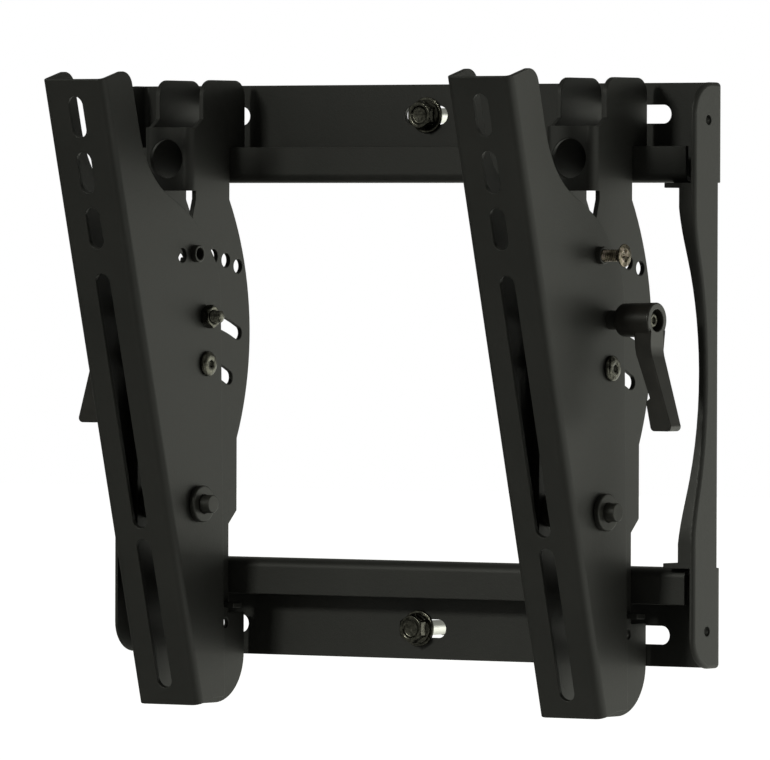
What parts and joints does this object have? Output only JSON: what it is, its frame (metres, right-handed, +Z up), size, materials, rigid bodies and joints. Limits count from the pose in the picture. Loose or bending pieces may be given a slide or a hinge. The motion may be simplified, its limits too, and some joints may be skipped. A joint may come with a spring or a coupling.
{
  "type": "tilting tv wall bracket",
  "caption": "Black steel wall bracket with two hooked uprights that slide on folded rails, tilt on pivots and lock with levers.",
  "frame": {"origin": "centre of the wall plate's back face", "axes": "+X along the wall to the viewer's right, +Y into the wall, +Z up"},
  "size_m": [0.3474, 0.1897, 0.3091],
  "materials": {
    "black_coat": "fine textured powder coat, satin black",
    "black_oxide": "black oxide, semi-gloss",
    "dark_zinc": "black zinc plate, glossy, with an olive cast",
    "zinc_plate": "dull zinc plate",
    "spring_steel": "oiled spring steel",
    "lever_coat": "black satin coating on zinc casting"
  },
  "bodies": {
    "wall": {"wall_plate": "black_coat", "lag_screws": "dark_zinc", "lag_washers": "dark_zinc"},
    "right_upright": {"right_hook_bracket": "black_coat", "right_pivot_pin": "black_oxide", "right_pivot_caps": "black_oxide", "right_pivot_sleeve": "black_oxide"},
    "right_screen": {"right_screen_bracket": "black_coat", "right_guide_spacer": "black_oxide", "right_guide_screws": "dark_zinc", "right_lock_bolt": "dark_zinc", "right_lock_nut": "dark_zinc", "right_clinch_nuts": "black_oxide", "right_safety_screw": "zinc_plate"},
    "right_lever": {"right_lever_insert": "black_oxide", "right_lever_screw": "dark_zinc", "right_lever_spring": "spring_steel"},
    "right_handle": {"right_lever_handle": "lever_coat"},
    "left_upright": {"left_hook_bracket": "black_coat", "left_pivot_pin": "black_oxide", "left_pivot_caps": "black_oxide", "left_pivot_sleeve": "black_oxide"},
    "left_screen": {"left_screen_bracket": "black_coat", "left_guide_spacer": "black_oxide", "left_guide_screws": "dark_zinc", "left_lock_bolt": "dark_zinc", "left_lock_nut": "dark_zinc", "left_clinch_nuts": "black_oxide", "left_safety_screw": "zinc_plate"},
    "left_lever": {"left_lever_insert": "black_oxide", "left_lever_screw": "dark_zinc", "left_lever_spring": "spring_steel"},
    "left_handle": {"left_lever_handle": "lever_coat"}
  },
  "joints": [
    {"name": "right_slide", "type": "slide", "parent": "wall", "child": "right_upright", "axis": [1, 0, 0], "range_m": [-0.06, 0]},
    {"name": "right_tilt", "type": "hinge", "parent": "right_upright", "child": "right_screen", "pos_m": [0.118, -0.0525, -0.065], "axis": [1, 0, 0], "range_deg": [-20, 0]},
    {"name": "right_lever_turn", "type": "hinge", "parent": "right_screen", "child": "right_lever", "pos_m": [0.1365, -0.04642, 0.0265], "axis": [1, 0, 0], "range_deg": [-105, 0]},
    {"name": "right_handle_lift", "type": "slide", "parent": "right_lever", "child": "right_handle", "axis": [1, 0, 0], "range_m": [0, 0.0017], "stiffness_N_per_m": 600, "springref_m": -0.004, "deforming": ["right_lever_spring"]},
    {"name": "left_slide", "type": "slide", "parent": "wall", "child": "left_upright", "axis": [1, 0, 0], "range_m": [0, 0.06]},
    {"name": "left_tilt", "type": "hinge", "parent": "left_upright", "child": "left_screen", "pos_m": [-0.118, -0.0525, -0.065], "axis": [1, 0, 0], "range_deg": [-20, 0]},
    {"name": "left_lever_turn", "type": "hinge", "parent": "left_screen", "child": "left_lever", "pos_m": [-0.1365, -0.04642, 0.0265], "axis": [1, 0, 0], "range_deg": [-105, 0]},
    {"name": "left_handle_lift", "type": "slide", "parent": "left_lever", "child": "left_handle", "axis": [-1, 0, 0], "range_m": [0, 0.0017], "stiffness_N_per_m": 600, "springref_m": -0.004, "deforming": ["left_lever_spring"]}
  ]
}
